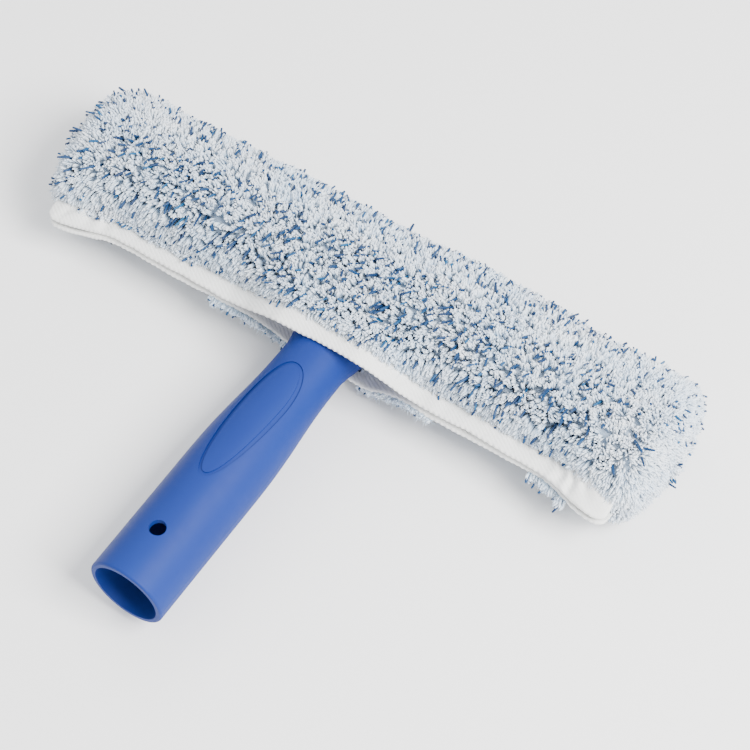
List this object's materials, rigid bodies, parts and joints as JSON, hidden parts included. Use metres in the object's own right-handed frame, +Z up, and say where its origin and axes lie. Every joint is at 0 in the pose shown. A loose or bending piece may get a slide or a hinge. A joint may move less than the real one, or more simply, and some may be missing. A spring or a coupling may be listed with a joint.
{
  "type": "window washer",
  "caption": "T-bar window washer: blue moulded handle with a pole socket, and a removable tufted microfibre sleeve with scrubbing bristles that closes round the crossbar.",
  "frame": {"origin": "on the surface that the washer lies on, under the middle of its outline", "axes": "+X along the crossbar, -Y towards the open end of the handle, +Z up from the surface that it lies on"},
  "size_m": [0.276, 0.188, 0.0448],
  "materials": {
    "blue_plastic": "moulded, satin",
    "dark_plastic": "moulded, satin",
    "screw_steel": "zinc plated",
    "pile": "tufted microfibre",
    "bristle": "stiff scrubbing fibre",
    "edge_band": "twill tape",
    "thread": "polyester thread",
    "closure_tape": "hook and loop tape"
  },
  "bodies": {
    "t_bar": {"handle": "blue_plastic", "crossbar": "blue_plastic", "crossbar_plug_left": "dark_plastic", "crossbar_plug_right": "dark_plastic", "head_screw": "screw_steel"},
    "sleeve": {"crown_pile": "pile", "end_panel_left": "pile", "end_panel_right": "pile"},
    "front_flap": {"front_pile": "pile", "front_edge_band": "edge_band", "front_band_thread": "thread", "hook_strip_left": "closure_tape", "hook_strip_right": "closure_tape"},
    "back_flap": {"back_pile": "pile", "back_edge_band": "edge_band", "back_band_thread": "thread", "loop_strip_left": "closure_tape", "loop_strip_right": "closure_tape"}
  },
  "joints": [
    {"name": "sleeve_pull", "type": "slide", "parent": "t_bar", "child": "sleeve", "axis": [0, 1, 0], "range_m": [0, 0.07]},
    {"name": "front_flap_open", "type": "hinge", "parent": "sleeve", "child": "front_flap", "pos_m": [0, 0.0638, 0.0448], "axis": [-1, 0, 0], "range_deg": [0, 71]},
    {"name": "back_flap_open", "type": "hinge", "parent": "sleeve", "child": "back_flap", "pos_m": [0, 0.0638, 0], "axis": [1, 0, 0], "range_deg": [0, 71]}
  ],
  "couplings": [
    {"joint": "front_flap_open", "follows": "sleeve_pull", "rad_per_m": 17.453},
    {"joint": "back_flap_open", "follows": "sleeve_pull", "rad_per_m": 17.453}
  ]
}
